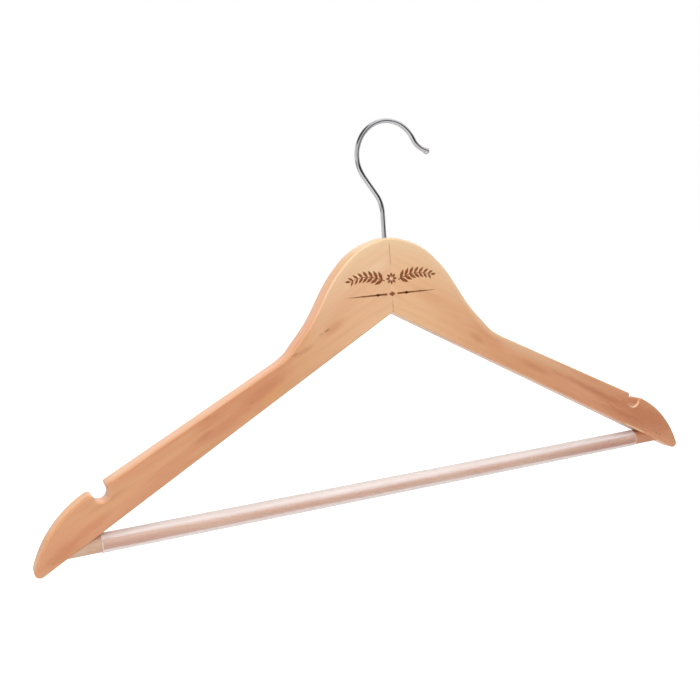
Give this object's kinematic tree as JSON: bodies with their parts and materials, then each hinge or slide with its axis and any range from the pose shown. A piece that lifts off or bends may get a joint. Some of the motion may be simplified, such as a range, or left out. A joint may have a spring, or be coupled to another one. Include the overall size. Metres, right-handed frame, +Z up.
{
  "type": "trouser hanger",
  "caption": "Flat wooden clothes hanger with strap notches, a round trouser bar in a clear grip sleeve, and a turning chromed wire hook.",
  "frame": {"origin": "on the hook's turning axis, at the inside of the hook's bow, where it rests on a rail", "axes": "+X along the arms to the right tip seen from the front, +Y from the front face to the back face, +Z up along the shank"},
  "size_m": [0.44, 0.012, 0.2348],
  "materials": {
    "arm_wood": "satin clear lacquer over fine straight grain",
    "bar_wood": "bare pale turned wood",
    "dowel_wood": "bare, glued in",
    "clear_sleeve": "clear soft plastic, glossy, faintly milky",
    "hook_chrome": "polished",
    "pin_steel": "dull"
  },
  "bodies": {
    "hook_body": {"hook": "hook_chrome"},
    "hanger_body": {"left_arm": "arm_wood", "right_arm": "arm_wood", "joint_dowels": "dowel_wood", "hook_pin": "pin_steel", "trouser_bar": "bar_wood", "grip_sleeve": "clear_sleeve", "right_bar_brads": "pin_steel", "left_bar_brads": "pin_steel"}
  },
  "joints": [
    {"name": "hook_swivel", "type": "hinge", "parent": "hook_body", "child": "hanger_body", "pos_m": [0, 0, -0.0666], "axis": [0, 0, 1], "continuous": true}
  ]
}
